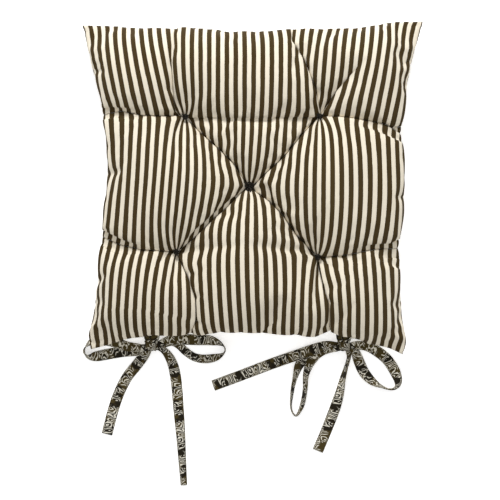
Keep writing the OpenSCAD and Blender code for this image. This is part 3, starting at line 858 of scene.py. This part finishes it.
# ---------------------------------------------------------------------------
# Threads: the seam is a line of short sewing-thread stitches just inside the
# edge; a closing stretch at the rear and the bar tacks at the ties are whipped
# by machine in the same thread.
def thread_mesh(name, runs, thick, resolution=1):
    """Short round lengths of thread, closed at both ends: each run is the points it passes through."""
    curve = bpy.data.curves.new(name + "Path", "CURVE")
    curve.dimensions = "3D"
    curve.bevel_depth = thick / 2
    curve.bevel_resolution = resolution
    curve.use_fill_caps = True
    for run in runs:
        line = curve.splines.new("POLY")
        line.points.add(len(run) - 1)
        for point, at in zip(line.points, run):
            point.co = (*at, 1.0)
        line.points[0].radius = line.points[-1].radius = 0.45
    drawn = bpy.data.objects.new(name + "Path", curve)
    mesh = bpy.data.meshes.new_from_object(drawn)
    bpy.data.objects.remove(drawn)
    bpy.data.curves.remove(curve)
    mesh.name = name
    return mesh


thread_mat, nt, shader = new_material("CottonThread", 0.7, 0.2)
node, maths = nodes_of(nt)
place = node("TexCoord").outputs["Object"]
twist = node("TexWave", wave_type="BANDS", bands_direction="DIAGONAL")
twist.inputs["Scale"].default_value = 900.0
nt.links.new(place, twist.inputs["Vector"])
nt.links.new(mixed(nt, node, noise(nt, node, place, 700.0), (0.10, 0.075, 0.035, 1), (0.20, 0.16, 0.09, 1)),
             shader.inputs["Base Color"])
bumped(nt, node, shader, twist.outputs[0], 0.0001, 0.6)

rim_ids = np.where(edge_vert)[0]
rim_flat = flat_at[rim_ids]
rim_angle = np.arctan2(rim_flat[:, 1] / np.abs(rim_flat).max(1), rim_flat[:, 0] / np.abs(rim_flat).max(1))
rim = spots[rim_ids[np.argsort(rim_angle)]]
rim = np.vstack([rim, rim[:1]])
rim_run = np.r_[0, np.cumsum(np.linalg.norm(np.diff(rim, axis=0), axis=1))]


def on_rim(at, inward=0.0, up=0.0):
    """A point at run length at along the seam, moved inward and up."""
    at = at % rim_run[-1]
    p = np.array([np.interp(at, rim_run, rim[:, k]) for k in range(3)])
    q = np.array([np.interp((at + 0.001) % rim_run[-1], rim_run, rim[:, k]) for k in range(3)])
    go = (q - p)[:2]
    go /= max(np.hypot(*go), 1e-9)
    inner = np.array([-go[1], go[0]])
    p[:2] += inner * inward
    p[2] += up
    return p


seam_pitch, seam_stitch = 0.0032, 0.0022
thread_thick = 0.0006
seam_runs = []
for k in range(int(rim_run[-1] / seam_pitch)):
    a = k * seam_pitch
    seam_runs.append([on_rim(a + 0.0003 + seam_stitch * s, 0.0004) for s in (0, 0.33, 0.67, 1)])
mesh = thread_mesh("SeamStitches", seam_runs, thread_thick)
mesh.materials.append(thread_mat)
seam = add_object("SeamStitches", mesh)
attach(seam, "pad")
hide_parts("seam_stitching")

rear_mid = rim_run[int(np.argmin(np.abs(rim[:, 0]) + 10 * (rim[:, 1] < 0.1)))]
closing_count, closing_pitch = 25, 0.006
closing_runs = []
for k in range(closing_count):
    a = rear_mid + (k - closing_count // 2) * closing_pitch
    closing_runs.append([on_rim(a + 0.0025 * s / 4, 0.0022 * math.cos(s * math.pi / 4) ** 2 - 0.0004,
                                0.0019 * math.cos(s * math.pi / 4)) for s in range(5)])
mesh = thread_mesh("ClosingStitches", closing_runs, thread_thick)
mesh.materials.append(thread_mat)
closing = add_object("ClosingStitches", mesh)
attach(closing, "pad")
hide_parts("closing_stitches")

tack_count, tack_pitch = 9, 0.0019
for name, cad_node, x in (("LeftBarTack", "left_tie_bartack", -0.1165),
                          ("RightBarTack", "right_tie_bartack", 0.111)):
    near = np.where(rim[:, 1] < -0.1)[0]
    middle = rim_run[near[np.argmin(np.abs(rim[near, 0] - x))]]
    runs = []
    for k in range(tack_count):
        a = middle + (k - tack_count // 2) * tack_pitch
        runs.append([on_rim(a + 0.0006 * s / 4, 0.0024 * math.cos(s * math.pi / 4) ** 2 - 0.0005,
                            0.0017 * math.cos(s * math.pi / 4)) for s in range(5)])
    mesh = thread_mesh(name, runs, thread_thick)
    mesh.materials.append(thread_mat)
    tack = add_object(name, mesh)
    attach(tack, "pad")
    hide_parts(cad_node)


# ---------------------------------------------------------------------------
# Tufts: waxed twine taken down through the pad and back at five places, and
# pulled tight into a hard little knot with two or three cut ends, which sits in
# its own dimple.
twine_mat, nt, shader = new_material("WaxedTwine", 0.6, 0.1)
node, maths = nodes_of(nt)
place = node("TexCoord").outputs["Object"]
twist = node("TexWave", wave_type="BANDS", bands_direction="DIAGONAL")
twist.inputs["Scale"].default_value = 420.0
nt.links.new(place, twist.inputs["Vector"])
nt.links.new(mixed(nt, node, noise(nt, node, place, 500.0),
                   (0.004, 0.003, 0.002, 1), (0.014, 0.011, 0.006, 1)), shader.inputs["Base Color"])
bumped(nt, node, shader, twist.outputs[0], 0.0003, 0.7)
twine_thick, leg_thick = 0.0016, 0.0013
tuft_names = ("Centre", "RearLeft", "RearRight", "FrontLeft", "FrontRight")
cad_names = ("centre", "rear_left", "rear_right", "front_left", "front_right")
for (x, y), name, cad_name in zip(tufts, tuft_names, cad_names):
    big = 1.45 if name == "Centre" else 0.8
    around = np.hypot(spots[:, 0] - x, spots[:, 1] - y)
    close = around < 0.004
    top_level = float(spots[close & top_vert, 2].max())
    low_level = float(spots[close & low_vert, 2].min())
    level = top_level + 0.0004
    runs = []
    for k in range(5):                      # loops of the knot
        turn = k * 2 * math.pi / 5 + 0.4
        loop = []
        for s in np.linspace(0, 2 * math.pi, 15):
            r = (0.0012 + 0.0021 * (1 - math.cos(s)) / 2 * 1.1) * big
            a = turn + 0.55 * math.sin(s)
            loop.append((x + r * math.cos(a), y + r * math.sin(a),
                         level + 0.0008 + 0.0010 * math.sin(s) * big))
        runs.append(loop)
    for k, (dx, dy) in enumerate(((0.9, 0.35), (-0.8, 0.6), (0.2, -1.0))):      # cut ends
        runs.append([(x + dx * 0.006 * big * s, y + dy * 0.006 * big * s,
                      level + 0.0010 + 0.0011 * math.sin(s * 2.6)) for s in np.linspace(0.1, 1, 6)])
    mesh = thread_mesh("TuftKnot" + name, runs, twine_thick, 2)
    mesh.materials.append(twine_mat)
    knot = add_object("TuftKnot" + name, mesh)
    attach(knot, "pad")
    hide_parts("tuft_knot_" + cad_name)
    half = 0.0022
    legs = [[(x + side * half, y, z) for z in np.linspace(low_level + 0.0012, level, 8)] for side in (-1, 1)]
    legs.append([(x + half * s, y, level + 0.0004 * (1 - s * s)) for s in np.linspace(-1, 1, 8)])
    legs.append([(x + half * s, y, low_level + 0.0008 - 0.0003 * (1 - s * s)) for s in np.linspace(-1, 1, 8)])
    mesh = thread_mesh("TuftTwine" + name, legs, leg_thick, 2)
    mesh.materials.append(twine_mat)
    twine = add_object("TuftTwine" + name, mesh)
    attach(twine, "pad")
    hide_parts("tuft_twine_" + cad_name)
